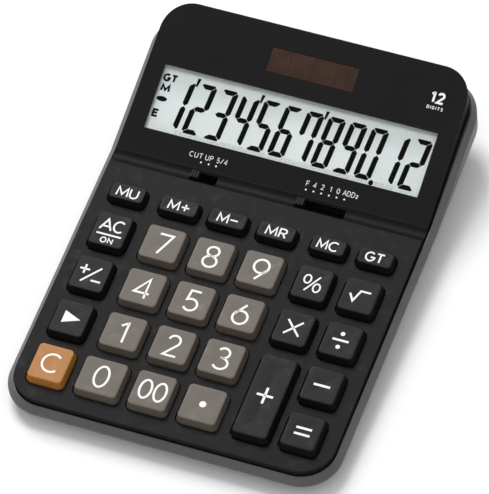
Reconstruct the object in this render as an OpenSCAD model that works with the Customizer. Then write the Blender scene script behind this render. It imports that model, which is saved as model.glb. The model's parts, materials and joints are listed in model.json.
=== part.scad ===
// Desk calculator with a tilted display, 29 sprung keys and two slide switches.
// Millimetres. X runs to the right, Y to the rear, Z up.
// The origin is under the middle of the case, on the surface it rests on.

/* [Case] */
// Overall width of the case
case_w = 129; // [108:1:155]
// Overall depth of the case
case_d = 175.5; // [146:0.5:211]
// Height of the rear edge of the display cover
case_h = 35.6; // [33:0.2:43]
// Corner radius of the rim, seen from above
corner_r = 15; // [10:0.5:18]
// Wall thickness of both shells
wall = 1.8; // [1.5:0.1:2.2]
// Width of the ledge around the cover
ledge = 2.2; // [1.8:0.1:2.7]
// Height of the rim band at the front
rim_h = 3.3; // [2.7:0.1:4]
// Height of the sloped lip on top of the rim band
rim_lip = 2.4; // [2:0.1:2.7]
// Inset of the lower body under the rim
belly_inset = 5; // [4.2:0.1:6]

/* [Keypad] */
// Height of the keypad surface at the front edge
deck_front = 10.8; // [10.2:0.1:12.9]
// Slope of the keypad in degrees
deck_tilt = 2.8; // [2.3:0.1:3.4]
// Height of the keys above the keypad
key_h = 3.2; // [2.7:0.1:3.9]
// How far a key goes down
key_travel = 1.3; // [1:0.1:1.5]
// How far a key widens from its top to its base
key_flare = 1.1; // [0.9:0.05:1.3]
// Corner radius of the keys
key_r = 1.9; // [1.2:0.1:2.3]
// Gap between a key and its hole, all round
key_gap = 0.3; // [0.2:0.05:0.4]

/* [Display] */
// Width of the visible liquid crystal display
lcd_w = 108.4; // [90:0.2:112]
// Height of the visible liquid crystal display
lcd_h = 25.9; // [21.5:0.1:28]
// Distance of the display from the rear edge of the cover
lcd_back = 25.7; // [22:0.1:27]
// Width of the solar cell window
solar_w = 34.5; // [28:0.5:42]
// Height of the solar cell window
solar_h = 9.7; // [8:0.1:11.7]
// Radius of the groove between keypad and display
cove_r = 4.2; // [3.8:0.1:5]
// Lean of the cover's walls, inwards per unit of height
draft = 0.045; // [0.03:0.005:0.06]

/* [Switches and battery] */
// Step between two switch positions
switch_step = 3; // [2.5:0.1:3.4]
// Width of a switch knob
knob_w = 3.4; // [2.8:0.1:4]
// Diameter of the button cell
cell_d = 11.6; // [9.6:0.1:13.9]
// Thickness of the button cell
cell_h = 5.4; // [4.5:0.1:6.4]
// Width of the battery door
door_w = 20; // [17:0.5:24]

/* [Hidden] */
$fn = 32;
sx = case_w / 129;
sy = case_d / 175.5;
sp = min(sx, sy);
tan_d = tan(deck_tilt);
cover_w = case_w - 2 * ledge - 0.6;
cover_y0 = ledge + 0.3;
cover_y1 = case_d - ledge + 0.6;
cover_r = corner_r - ledge;
foot_h = 0.8;
floor_top = foot_h + wall;
rim_top0 = deck_front - 2.4;
rim_rear = case_h - 6.6;
rim_rear_h = rim_h + 8;
knee_y = 116.5 * sy;
knee_z = rim_top0 + knee_y * tan_d;
rear_slope = atan((rim_rear - knee_z) / (case_d + 1 - knee_y));
fold_y = 115.5 * sy;
fold_z = deck_front + fold_y * tan_d - 0.95;
disp_y = cover_y1;
disp_tilt = atan((case_h - fold_z) / (disp_y - fold_y));
cove_y = 112.3 * sy;
cove_half = 3.2 * sy;
cove_z = deck_front + cove_y * tan_d - 0.47;
cove_drop = sqrt(max(cove_r * cove_r - cove_half * cove_half, 1));
lcd_depth = 0.8;
flange_t = 0.8;
dome_top = -wall - 0.05 - flange_t;
sheet_t = 0.5;
sheet_base = dome_top - key_travel - 0.15 - sheet_t;
board_t = 1.2;
board_low = sheet_base - board_t;
solar_back = 9.1 * sy;
boss_d = 4.2 * sp;
screw_d = 2.2;
head_d = 4.2;
front_boss = [[-39.6 * sx, 27.5 * sy], [19.4 * sx, 27.5 * sy]];
rear_boss = [[-50 * sx, 160 * sy], [50 * sx, 160 * sy]];
boss_split = 15;
front_screw = deck_front - 1.4;
col_x = [for (x = [-48.8, -28.3, -9.1, 10.1, 30.5, 48.85]) x * sx];
row_y = [for (y = [95, 77.65, 57.65, 37.6, 17.3]) y * sy];
left_slot = [-31 * sx, 2 * switch_step + knob_w + 1.2];
right_slot = [10.6 * sx, 5 * switch_step + knob_w + 1.2];
door_x = 30 * sx;
door_l = 28 * sy;
door_y1 = case_d - belly_inset;
cell_y = door_y1 - 15 * sy;

// name, column, row, x shift, y shift, width, depth
KEYS = [
  ["key_mu", 0, 0, 0, 0, 13, 6.6],
  ["key_m_plus", 1, 0, 0, 0, 14.2, 6.6],
  ["key_m_minus", 2, 0, 0, 0, 14.2, 6.6],
  ["key_mr", 3, 0, 0, 0, 14, 6.6],
  ["key_mc", 4, 0, 0, 0, 12.9, 6.6],
  ["key_gt", 5, 0, 0, 0, 12.9, 6.6],
  ["key_ac_on", 0, 1, 0, 0, 13, 14.1],
  ["key_sign", 0, 2, 0, 0, 13, 14.1],
  ["key_back", 0, 3, 0, 0, 13, 14.1],
  ["key_clear", 0, 4, 0, 0, 13.2, 14.6],
  ["key_7", 1, 1, 0, 0, 14.3, 14.1],
  ["key_8", 2, 1, 0, 0, 14.3, 14.1],
  ["key_9", 3, 1, 0, 0, 14.3, 14.1],
  ["key_4", 1, 2, 0, 0, 14.3, 14.1],
  ["key_5", 2, 2, 0, 0, 14.3, 14.1],
  ["key_6", 3, 2, 0, 0, 14.3, 14.1],
  ["key_1", 1, 3, 0, 0, 14.3, 14.1],
  ["key_2", 2, 3, 0, 0, 14.3, 14.1],
  ["key_3", 3, 3, 0, 0, 14.3, 14.1],
  ["key_0", 1, 4, -0.65, 0, 16, 14.6],
  ["key_00", 2, 4, 0, 0, 14.3, 14.6],
  ["key_point", 3, 4, 0.2, 0, 14.4, 14.6],
  ["key_percent", 4, 1, 0, 0, 12.9, 14],
  ["key_root", 5, 1, 0, 0, 13, 14],
  ["key_times", 4, 2, 0, 0, 12.9, 14],
  ["key_divide", 5, 2, 0, 0, 13, 14],
  ["key_plus", 4, 4, 0.2, 10, 13.1, 34.4],
  ["key_minus", 5, 3, 0, 0, 13, 14],
  ["key_equals", 5, 4, 0, 0.1, 13, 14]
];

// Side profile points of the rim's top edge, moved down by a distance.
function rim_line(down) = [
  [case_d + 1, rim_rear - down],
  [knee_y, knee_z - down],
  [-1, rim_top0 - tan_d - down]
];
function deck_z(y) = deck_front + y * tan_d;
function disp_z(y) = case_h - (disp_y - y) * tan(disp_tilt);
function key_x(k) = col_x[k[1]] + k[3] * sx;
function key_y(k) = row_y[k[2]] + k[4] * sy;

// Everything is laid out from the front edge and then centred.
module centred() {
  translate([0, -case_d / 2, 0])
    children();
}

// Rounded rectangle centred on the origin.
module round_rect(w, d, r) {
  square([w - 2 * r, d], center = true);
  square([w, d - 2 * r], center = true);
  for (x = [-1, 1], y = [-1, 1])
    translate([x * (w / 2 - r), y * (d / 2 - r)])
      circle(r);
}

// Upright block with a rounded plan outline between two Y values.
module plan_block(w, y0, y1, r, z0, z1) {
  translate([0, (y0 + y1) / 2, z0])
    linear_extrude(z1 - z0)
      round_rect(w, y1 - y0, r);
}

// Block whose walls lean inwards by the slope, with a rounded plan outline.
module drafted_block(w, y0, y1, r, z0, z1, slope) {
  h = z1 - z0;
  cx = w / 2 - r;
  translate([0, y0 + r, 0])
    rotate([90, 0, 180])
      linear_extrude(y1 - y0 - 2 * r)
        polygon([[-w / 2, z0], [w / 2, z0], [w / 2 - h * slope, z1], [h * slope - w / 2, z1]]);
  side_block(2 * cx, [[y0, z0], [y1, z0], [y1 - h * slope, z1], [y0 + h * slope, z1]]);
  for (x = [-cx, cx], y = [y0 + r, y1 - r])
    translate([x, y, z0])
      cylinder(h = h, r1 = r, r2 = r - h * slope, $fn = 64);
}

// Solid of constant side profile, given as [y, z] points.
module side_block(w, points) {
  translate([-w / 2, 0, 0])
    rotate([90, 0, 90])
      linear_extrude(w)
        polygon(points);
}

// Local frame on the keypad surface, Z along its normal.
module on_deck(x, y) {
  translate([x, y, deck_z(y)])
    rotate([deck_tilt, 0, 0])
      children();
}

// Local frame on the display surface, measured down from its rear edge.
module on_display(x, v) {
  translate([0, disp_y, case_h])
    rotate([disp_tilt, 0, 0])
      translate([x, -v, 0])
        children();
}

module box_at(x0, x1, y0, y1, z0, z1) {
  translate([x0, y0, z0])
    cube([x1 - x0, y1 - y0, z1 - z0]);
}

module deck_slab(w, y0, y1, r, z0, z1) {
  yc = (y0 + y1) / 2;
  on_deck(0, yc)
    translate([0, 0, z0])
      linear_extrude(z1 - z0)
        round_rect(w, y1 - y0, r);
}

// ---- shells ----

module rim_band() {
  intersection() {
    plan_block(case_w, 0, case_d, corner_r, 0, case_h);
    side_block(case_w, concat(
      [
        [-1, rim_top0 - rim_h - tan_d],
        [knee_y, knee_z - rim_h - 0.4],
        [case_d + 1, rim_rear - rim_rear_h]
      ],
      rim_line(0)
    ));
    union() {
      side_block(case_w + 2, concat([[-1, 0], [case_d + 1, 0]], rim_line(rim_lip)));
      leaning_lip(0, rim_top0, deck_tilt, case_d);
      leaning_lip(knee_y, knee_z, rear_slope, case_d);
    }
  }
}

// Top of the rim, sloping outwards, along a line through a point at an angle.
module leaning_lip(y, z, angle, y_end) {
  lean = (ledge - 0.3) / rim_lip;
  extra = 0.7;
  wide = extra * lean;
  y0 = -y / cos(angle) - wide;
  y1 = (y_end - y - rim_lip * sin(angle)) / cos(angle) + wide;
  translate([0, y, z])
    rotate([angle, 0, 0])
      drafted_block(case_w + 2 * wide, y0, y1, corner_r + wide, -rim_lip - extra, 0.3, lean);
}

module belly() {
  intersection() {
    plan_block(case_w - 2 * belly_inset, belly_inset, case_d - belly_inset,
      corner_r - belly_inset, foot_h, case_h);
    side_block(case_w, concat([[-1, 0], [case_d + 1, 0]], rim_line(wall)));
  }
}

module bottom_case() {
  inner = belly_inset + wall;
  color([0.42, 0.40, 0.38])
    centred()
      difference() {
        union() {
          difference() {
            union() {
              rim_band();
              belly();
            }
            plan_block(case_w - 2 * inner, inner, case_d - inner,
              corner_r - inner, floor_top, case_h);
            seat_pocket();
          }
          lower_posts();
          battery_bay();
        }
        screw_cuts();
        door_cut();
      }
}

// Rebate inside the ledge that takes the lower edge of the cover.
module seat_pocket() {
  intersection() {
    plan_block(cover_w + 0.6, cover_y0 - 0.3, cover_y1 + 0.3, cover_r + 0.3, 0, case_h + 5);
    side_block(case_w, concat([[-1, case_h + 5], [case_d + 1, case_h + 5]], rim_line(wall)));
  }
}

module lower_posts() {
  for (b = front_boss)
    translate([b[0], b[1], foot_h])
      cylinder(h = deck_z(b[1]) + board_low - 0.3 - foot_h, d = boss_d);
  for (b = rear_boss)
    translate([b[0], b[1], foot_h])
      cylinder(h = boss_split - foot_h, d = boss_d + 2.4);
  for (x = [-50 * sx, 0, 50 * sx])
    board_post(x, 87 * sy);
  for (x = [-40 * sx, 0, 40 * sx])
    board_post(x, 48 * sy);
}

// Post cut to the slope of the underside of the board.
module board_post(x, y) {
  intersection() {
    translate([x, y, foot_h])
      cylinder(h = case_h, d = 4);
    side_block(case_w, [
      [0, 0],
      [case_d, 0],
      [case_d, deck_z(case_d) + board_low / cos(deck_tilt)],
      [0, deck_z(0) + board_low / cos(deck_tilt)]
    ]);
  }
}

module screw_cuts() {
  for (b = front_boss) {
    translate([b[0], b[1], -1])
      cylinder(h = 20, d = screw_d + 0.3);
    translate([b[0], b[1], 0])
      cylinder(h = foot_h + 1.4, d = head_d + 0.6);
  }
  for (b = rear_boss) {
    translate([b[0], b[1], -1])
      cylinder(h = 30, d = screw_d + 0.3);
    translate([b[0], b[1], 0])
      cylinder(h = boss_split - 4, d = head_d + 0.6);
  }
}

module battery_bay() {
  bay = cell_d / 2 + 0.3;
  translate([door_x, cell_y, floor_top])
    difference() {
      union() {
        cylinder(h = cell_h + 1, r = bay + 1.4);
        translate([-door_w / 2 - 3.4, -1, -0.2])
          cube([door_w + 6.8, 2, cell_h + 1.2]);
      }
      translate([0, 0, -1])
        cylinder(h = cell_h + 3, r = bay);
      translate([-1.8, -bay - 3, -1])
        cube([3.6, bay + 3, cell_h + 3]);
    }
}

// Opening for the sliding door, narrower at the outside.
module door_cut() {
  box_at(door_x - door_w / 2 - 0.25, door_x + door_w / 2 + 0.25,
    door_y1 - door_l - 0.25, door_y1 + 1, 0, foot_h + wall / 2);
  box_at(door_x - door_w / 2 - 1.25, door_x + door_w / 2 + 1.25,
    door_y1 - door_l - 0.25, door_y1 + 1, foot_h + wall / 2 - 0.01, floor_top + 0.01);
}

module battery_door() {
  color([0.42, 0.40, 0.38])
    centred()
      difference() {
        union() {
          box_at(door_x - door_w / 2, door_x + door_w / 2,
            door_y1 - door_l, door_y1, foot_h, floor_top - 0.2);
          box_at(door_x - door_w / 2 - 1, door_x + door_w / 2 + 1,
            door_y1 - door_l, door_y1, foot_h + wall / 2 + 0.1, floor_top - 0.2);
        }
        for (i = [0 : 3])
          box_at(door_x - 5, door_x + 5,
            door_y1 - 5 - 1.6 * i, door_y1 - 4.2 - 1.6 * i, foot_h - 1, foot_h + 0.4);
      }
}

// The rear wall stands upright, and the others lean inwards.
module cover_outer() {
  z0 = rim_top0 - wall - 1;
  y1 = cover_y1 + draft * (case_h - z0);
  intersection() {
    drafted_block(cover_w, cover_y0, y1, cover_r, z0, case_h + 5, draft);
    side_block(case_w, [[-1, 0], [cover_y1, 0], [cover_y1, case_h + 5], [-1, case_h + 5]]);
    side_block(case_w, concat(
      [
        [-1, deck_z(-1)],
        [cove_y, deck_z(cove_y)],
        [fold_y - 0.5, fold_z],
        [fold_y, fold_z],
        [case_d + 1, disp_z(case_d + 1)]
      ],
      rim_line(wall)
    ));
  }
}

module cover_inner() {
  wd = wall / cos(deck_tilt);
  wt = wall / cos(disp_tilt);
  difference() {
    intersection() {
      drafted_block(cover_w - 2 * wall, cover_y0 + wall, cover_y1 - wall + draft * case_h,
        cover_r - wall, 0, case_h + 5, draft);
      side_block(case_w, [
        [-1, -1],
        [cover_y1 - wall, -1],
        [cover_y1 - wall, disp_z(cover_y1 - wall) - wt],
        [fold_y + 1, disp_z(fold_y + 1) - wt],
        [cove_y, deck_z(cove_y) - wd],
        [-1, deck_z(-1) - wd]
      ]);
    }
    cove_bar(cove_r + wall - 0.2);
  }
}

module cove_bar(r) {
  translate([0, cove_y, cove_z + cove_drop])
    rotate([0, 90, 0])
      cylinder(h = case_w + 4, r = r, center = true, $fn = 64);
}

module slot_cut(x0, len) {
  box_at(x0, x0 + len, cove_y - 2.2, cove_y + 2, cove_z - 9, cove_z + 3);
}

module key_outline(k, grow) {
  round_rect(k[5] * sx + 2 * grow, k[6] * sy + 2 * grow, key_r * sp + grow);
}

module top_cover() {
  color([0.10, 0.10, 0.10])
    centred()
      difference() {
        union() {
          difference() {
            cover_outer();
            cover_inner();
          }
          upper_posts();
          lcd_rails();
        }
        cove_bar(cove_r);
        slot_cut(left_slot[0], left_slot[1]);
        slot_cut(right_slot[0], right_slot[1]);
        for (k = KEYS)
          on_deck(key_x(k), key_y(k))
            translate([0, 0, -wall - 3])
              linear_extrude(wall + 6)
                key_outline(k, key_flare + key_gap);
        on_display(0, lcd_back + lcd_h / 2)
          cube([lcd_w, lcd_h, 8], center = true);
        on_display(0, lcd_back + lcd_h / 2)
          translate([0, 0, -lcd_depth - 3])
            cube([lcd_w + 3, lcd_h + 3, 6], center = true);
        on_display(0.8 * sx, solar_back + solar_h / 2)
          cube([solar_w, solar_h, 8], center = true);
        on_display(0.8 * sx, solar_back + solar_h / 2)
          translate([0, 0, -lcd_depth - 3])
            cube([solar_w + 3, solar_h + 3, 6], center = true);
        pilot_holes();
      }
}

module upper_posts() {
  for (b = front_boss)
    intersection() {
      translate([b[0], b[1], deck_z(b[1]) + board_low - 0.3])
        cylinder(h = 20, d = boss_d);
      cover_outer();
    }
  for (b = rear_boss)
    intersection() {
      translate([b[0], b[1], boss_split])
        cylinder(h = 40, d = boss_d + 1.4);
      cover_outer();
    }
}

module pilot_holes() {
  for (b = front_boss)
    translate([b[0], b[1], 0])
      cylinder(h = deck_z(b[1]) - 1.2, d = screw_d);
  for (b = rear_boss)
    translate([b[0], b[1], 0])
      cylinder(h = boss_split + 5.2, d = screw_d);
}

// Two rails under the display surface that carry the display frame.
module lcd_rails() {
  intersection() {
    on_display(0, lcd_back + lcd_h / 2)
      for (s = [-1, 1])
        translate([s * (lcd_w / 2 + 2.4), 0, -3.4])
          cube([1.6, lcd_h + 3, 5], center = true);
    cover_outer();
  }
}

// ---- display ----

module display_window() {
  color([0.85, 0.90, 0.90])
    centred()
      on_display(0, lcd_back + lcd_h / 2)
        union() {
          translate([0, 0, -lcd_depth / 2 - 0.05])
            cube([lcd_w - 0.2, lcd_h - 0.2, lcd_depth - 0.1], center = true);
          translate([0, 0, -lcd_depth - 0.3])
            cube([lcd_w + 2.6, lcd_h + 2.6, 0.6], center = true);
        }
}

module lcd_glass() {
  color([0.80, 0.86, 0.85])
    centred()
      on_display(0, lcd_back + lcd_h / 2)
        translate([0, 0, -lcd_depth - 0.6 - 1.1])
          cube([lcd_w + 1.8, lcd_h + 1.8, 2.2], center = true);
}

// Tray that holds the glass against the window.
module lcd_frame() {
  top = -lcd_depth - 0.6;
  color([0.88, 0.88, 0.86])
    centred()
      on_display(0, lcd_back + lcd_h / 2)
        difference() {
          translate([0, 0, top - 2])
            cube([lcd_w + 3, lcd_h + 3, 4], center = true);
          translate([0, 0, top - 1.1])
            cube([lcd_w + 1.8, lcd_h + 1.8, 2.21], center = true);
          translate([0, -lcd_h / 2 + 2, top - 3])
            cube([lcd_w * 0.8 + 0.4, 2.2, 4], center = true);
          translate([0, 3, top - 3])
            cube([lcd_w - 6, lcd_h - 12, 4], center = true);
        }
}

module lcd_connector() {
  color([0.55, 0.30, 0.45])
    centred()
      on_display(0, lcd_back + lcd_h - 2)
        translate([0, 0, -lcd_depth - 0.6 - 2.2 - 0.9])
          cube([lcd_w * 0.8, 1.8, 1.8], center = true);
}

module display_board() {
  color([0.12, 0.30, 0.20])
    centred()
      on_display(0, lcd_back + lcd_h / 2)
        translate([0, 0, -lcd_depth - 0.6 - 4 - board_t / 2])
          cube([lcd_w + 3, lcd_h + 3, board_t], center = true);
}

module chip_blob() {
  color([0.05, 0.05, 0.05])
    centred()
      on_display(-20 * sx, lcd_back + lcd_h / 2)
        translate([0, 0, -lcd_depth - 0.6 - 4 - board_t - 1.2])
          cylinder(h = 1.2, d1 = 6, d2 = 10);
}

module solar_window() {
  color([0.28, 0.18, 0.13])
    centred()
      on_display(0.8 * sx, solar_back + solar_h / 2)
        union() {
          translate([0, 0, -lcd_depth / 2 - 0.05])
            cube([solar_w - 0.2, solar_h - 0.2, lcd_depth - 0.1], center = true);
          translate([0, 0, -lcd_depth - 0.3])
            cube([solar_w + 2.6, solar_h + 2.6, 0.6], center = true);
        }
}

module solar_cell() {
  color([0.16, 0.09, 0.08])
    centred()
      on_display(0.8 * sx, solar_back + solar_h / 2)
        translate([0, 0, -lcd_depth - 0.6 - 0.6])
          cube([solar_w + 1.6, solar_h + 1.6, 1.2], center = true);
}

// ---- keypad electronics ----

module boss_holes(gap) {
  for (b = front_boss)
    translate([b[0], b[1], 0])
      cylinder(h = 40, d = boss_d + 2 * gap);
}

module main_board() {
  color([0.12, 0.30, 0.20])
    centred()
      difference() {
        deck_slab(cover_w - 9, 8.2 * sy, 103 * sy, corner_r - 7, board_low, sheet_base);
        boss_holes(0.4);
      }
}

module dome(k) {
  h = dome_top - sheet_base - sheet_t;
  n = k[6] > 20 ? 1 : 0;
  for (j = [-n : 2 : n])
    on_deck(key_x(k), key_y(k) + j * 9 * sy)
      translate([0, 0, sheet_base + sheet_t - 0.05])
        cylinder(h = h + 0.05, d1 = 6.4 * sp, d2 = 4.4 * sp, $fn = 20);
}

module dome_sheet() {
  color([0.75, 0.75, 0.72])
    centred()
      difference() {
        union() {
          deck_slab(cover_w - 10, 8.8 * sy, 102.4 * sy, corner_r - 7.5, sheet_base, sheet_base + sheet_t);
          for (k = KEYS)
            dome(k);
        }
        boss_holes(0.5);
      }
}

// Flat cable from the keypad board up to the display board.
module ribbon_cable() {
  y0 = 99 * sy;
  z0 = deck_z(y0) + board_low / cos(deck_tilt);
  y1 = disp_y - (lcd_back + lcd_h - 1) * cos(disp_tilt) + 7 * sin(disp_tilt);
  z1 = case_h - (lcd_back + lcd_h - 1) * sin(disp_tilt) - (4.6 + lcd_depth + board_t) * cos(disp_tilt);
  color([0.80, 0.78, 0.70])
    centred()
      side_block(15 * sx, [
        [y0, z0],
        [y0, z0 - 0.3],
        [y0 + 6, z0 - 1.5],
        [y1 - 3, z0 - 1.5],
        [y1 + 3, z1 - 0.1],
        [y1 + 2.6, z1],
        [y1 - 3.2, z0 - 1.2],
        [y0 + 6, z0 - 1.2]
      ]);
}

// ---- keys ----

module key(k, tint) {
  w = k[5] * sx;
  d = k[6] * sy;
  r = key_r * sp + key_flare;
  slope = (key_flare - 0.25) / (key_h - 0.55);
  color(tint)
    centred()
      on_deck(key_x(k), key_y(k))
        difference() {
          union() {
            translate([0, 0, dome_top])
              linear_extrude(0.31 - dome_top)
                key_outline(k, key_flare);
            drafted_block(w + 2 * key_flare, -d / 2 - key_flare, d / 2 + key_flare,
              r, 0.3, key_h - 0.25, slope);
            drafted_block(w + 0.5, -d / 2 - 0.25, d / 2 + 0.25,
              r - key_flare + 0.25, key_h - 0.25, key_h, 1);
            translate([0, 0, dome_top + flange_t / 2])
              cube([w + 2 * (key_flare + key_gap + 0.5), d * 0.6, flange_t], center = true);
          }
          difference() {
            translate([0, 0, dome_top - 1])
              linear_extrude(key_h - 1.6 - dome_top + 1)
                key_outline(k, -1);
            key_stem(k);
          }
        }
}

// Plunger and cross ribs inside a key.
module key_stem(k) {
  n = k[6] > 20 ? 1 : 0;
  for (j = [-n : 2 : n])
    translate([0, j * 9 * sy, dome_top])
      cylinder(h = 20, d = 4 * sp);
  translate([0, 0, 10 + dome_top + 1.8])
    cube([k[5] * sx, 1, 20], center = true);
}

taupe = [0.47, 0.44, 0.42];
dark = [0.13, 0.13, 0.13];
orange = [0.76, 0.46, 0.20];

// ---- switches ----

module knob(x0) {
  z0 = cove_z;
  translate([x0 + 0.5 + knob_w / 2, cove_y, 0])
    union() {
      box_at(-knob_w / 2, knob_w / 2, -1.8, 1.6, z0 - 5.6, z0 + 0.4);
      for (i = [-1 : 1])
        box_at(i * knob_w / 3.2 - 0.3, i * knob_w / 3.2 + 0.3, -1.8, 1.6, z0 + 0.3, z0 + 0.8);
      box_at(-knob_w / 2 - 1.2, knob_w / 2 + 1.2, -3.4, 3.2, z0 - 6.6, z0 - 5.2);
    }
}

module rounding_knob() {
  color(dark)
    centred()
      knob(left_slot[0]);
}

module decimal_knob() {
  color(dark)
    centred()
      knob(right_slot[0]);
}

// Printed contact strip under a switch knob.
module contact_strip(x0, len) {
  z0 = cove_z - 6.6;
  box_at(x0 - 1.6, x0 + len + 1.6, cove_y - 3.6, cove_y + 3.4, z0 - 1.3, z0 - 0.1);
}

module rounding_contact() {
  color([0.72, 0.60, 0.35])
    centred()
      contact_strip(left_slot[0], left_slot[1]);
}

module decimal_contact() {
  color([0.72, 0.60, 0.35])
    centred()
      contact_strip(right_slot[0], right_slot[1]);
}

// ---- battery ----

module battery() {
  color([0.75, 0.75, 0.76])
    centred()
      translate([door_x, cell_y, floor_top - 0.1])
        union() {
          cylinder(h = cell_h - 0.5, d = cell_d);
          cylinder(h = cell_h, d = cell_d - 2.4);
        }
}

module contact_plus() {
  bay = cell_d / 2;
  color([0.85, 0.75, 0.45])
    centred()
      union() {
        box_at(door_x - 1.5, door_x + 1.5, cell_y - bay - 0.35, cell_y - bay - 0.02,
          floor_top + 0.3, floor_top + cell_h + 1.3);
        box_at(door_x - 4, door_x + 4, cell_y - bay - 1.6, cell_y - bay - 0.02,
          floor_top + cell_h + 1, floor_top + cell_h + 1.3);
      }
}

// Leaf on top of the cell, hooked over the wall of the bay.
module contact_minus() {
  bay = cell_d / 2;
  top = floor_top - 0.1 + cell_h;
  color([0.85, 0.75, 0.45])
    centred()
      union() {
        difference() {
          translate([door_x, cell_y, top])
            cylinder(h = 0.4, r = bay);
          box_at(door_x - 1.8, door_x + 1.8, cell_y - bay - 1, cell_y - bay + 1.4, 0, 30);
        }
        box_at(door_x - 1.5, door_x + 1.5, cell_y + bay - 1.4, cell_y + bay - 1,
          top, floor_top + cell_h + 1.3);
        box_at(door_x - 1.5, door_x + 1.5, cell_y + bay - 1.4, cell_y + bay + 1.4,
          floor_top + cell_h + 1, floor_top + cell_h + 1.3);
      }
}

// ---- feet and screws ----

module foot(x, y) {
  color([0.10, 0.10, 0.10])
    centred()
      translate([x, y, 0])
        cylinder(h = foot_h, d = 9);
}

module screw(b, z0, len) {
  color([0.60, 0.60, 0.62])
    centred()
      translate([b[0], b[1], z0])
        difference() {
          union() {
            cylinder(h = 1.3, d = head_d);
            cylinder(h = len, d = screw_d);
          }
          translate([0, 0, -0.1])
            for (a = [0, 90])
              rotate([0, 0, a])
                translate([-1.3, -0.3, 0])
                  cube([2.6, 0.6, 0.8]);
        }
}

bottom_case();
top_cover();
display_window();
lcd_glass();
lcd_frame();
lcd_connector();
solar_window();
solar_cell();
main_board();
display_board();
ribbon_cable();
dome_sheet();
chip_blob();
rounding_knob();
decimal_knob();
rounding_contact();
decimal_contact();
battery();
contact_plus();
contact_minus();
battery_door();
foot(-48 * sx, 16 * sy);  // foot_fl
foot(48 * sx, 16 * sy);  // foot_fr
foot(-48 * sx, 148 * sy);  // foot_rl
foot(48 * sx, 148 * sy);  // foot_rr
screw(front_boss[0], foot_h + 1.4 - 1.3, front_screw);  // screw_fl
screw(front_boss[1], foot_h + 1.4 - 1.3, front_screw);  // screw_fr
screw(rear_boss[0], boss_split - 5.3, 10);  // screw_rl
screw(rear_boss[1], boss_split - 5.3, 10);  // screw_rr
key(KEYS[0], dark);  // key_mu
key(KEYS[1], dark);  // key_m_plus
key(KEYS[2], dark);  // key_m_minus
key(KEYS[3], dark);  // key_mr
key(KEYS[4], dark);  // key_mc
key(KEYS[5], dark);  // key_gt
key(KEYS[6], dark);  // key_ac_on
key(KEYS[7], dark);  // key_sign
key(KEYS[8], dark);  // key_back
key(KEYS[9], orange);  // key_clear
key(KEYS[10], taupe);  // key_7
key(KEYS[11], taupe);  // key_8
key(KEYS[12], taupe);  // key_9
key(KEYS[13], taupe);  // key_4
key(KEYS[14], taupe);  // key_5
key(KEYS[15], taupe);  // key_6
key(KEYS[16], taupe);  // key_1
key(KEYS[17], taupe);  // key_2
key(KEYS[18], taupe);  // key_3
key(KEYS[19], taupe);  // key_0
key(KEYS[20], taupe);  // key_00
key(KEYS[21], taupe);  // key_point
key(KEYS[22], dark);  // key_percent
key(KEYS[23], dark);  // key_root
key(KEYS[24], dark);  // key_times
key(KEYS[25], dark);  // key_divide
key(KEYS[26], dark);  // key_plus
key(KEYS[27], dark);  // key_minus
key(KEYS[28], dark);  // key_equals
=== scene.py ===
import bpy
import json
import math
import numpy as np
from mathutils import Matrix, Vector


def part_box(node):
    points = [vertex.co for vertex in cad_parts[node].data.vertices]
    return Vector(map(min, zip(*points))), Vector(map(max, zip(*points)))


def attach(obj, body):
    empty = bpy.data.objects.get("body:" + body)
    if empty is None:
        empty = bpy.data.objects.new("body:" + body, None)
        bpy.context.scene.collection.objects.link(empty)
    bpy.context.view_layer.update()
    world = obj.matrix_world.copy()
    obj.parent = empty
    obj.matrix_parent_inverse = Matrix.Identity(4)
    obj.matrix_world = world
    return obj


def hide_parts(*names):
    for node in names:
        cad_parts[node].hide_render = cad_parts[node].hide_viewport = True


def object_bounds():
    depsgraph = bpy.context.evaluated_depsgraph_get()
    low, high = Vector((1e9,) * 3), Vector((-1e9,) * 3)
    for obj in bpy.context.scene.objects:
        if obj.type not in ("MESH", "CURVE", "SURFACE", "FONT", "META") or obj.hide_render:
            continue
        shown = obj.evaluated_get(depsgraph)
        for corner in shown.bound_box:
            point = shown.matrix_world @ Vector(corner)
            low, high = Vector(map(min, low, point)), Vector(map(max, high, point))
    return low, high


# Desk calculator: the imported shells, boards and springs stay as they are and get their finishes,
# and the keys, the printed legends and the display segments are made here.

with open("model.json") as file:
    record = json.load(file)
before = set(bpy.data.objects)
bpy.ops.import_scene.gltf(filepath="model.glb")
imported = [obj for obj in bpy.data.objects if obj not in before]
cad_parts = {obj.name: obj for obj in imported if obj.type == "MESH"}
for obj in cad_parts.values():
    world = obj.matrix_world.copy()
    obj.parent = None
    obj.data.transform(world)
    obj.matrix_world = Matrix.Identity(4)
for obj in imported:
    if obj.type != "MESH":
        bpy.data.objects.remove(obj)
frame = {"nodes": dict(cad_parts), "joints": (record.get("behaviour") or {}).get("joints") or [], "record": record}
cadLow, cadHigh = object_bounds()
mm = 0.001
nodes = frame["nodes"]
slotOf = {part["node"]: part["material_slot"] for part in frame["record"]["subparts"]}
bodyOf = {}
for bodyName, members in frame["record"]["behaviour"]["bodies"].items():
    for member in members:
        bodyOf[member] = bodyName
print("frame loaded:", len(nodes), "nodes")


# places taken from the frame

def vertices(name):
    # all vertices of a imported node, one row each
    mesh = nodes[name].data
    co = np.zeros(len(mesh.vertices) * 3)
    mesh.vertices.foreach_get("co", co)
    return co.reshape(-1, 3)


def keySlope():
    # the keys go down square to the keypad, so their axis gives its slope
    joint = next(j for j in frame["joints"] if j["name"] == "key_7_press")
    return joint["axis"][1] / -joint["axis"][2]


def windowSlope():
    # the two windows lie in one plane, so their highest edges give its slope
    lcd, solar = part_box("display_window")[1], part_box("solar_window")[1]
    return (solar.z - lcd.z) / (solar.y - lcd.y)


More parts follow.
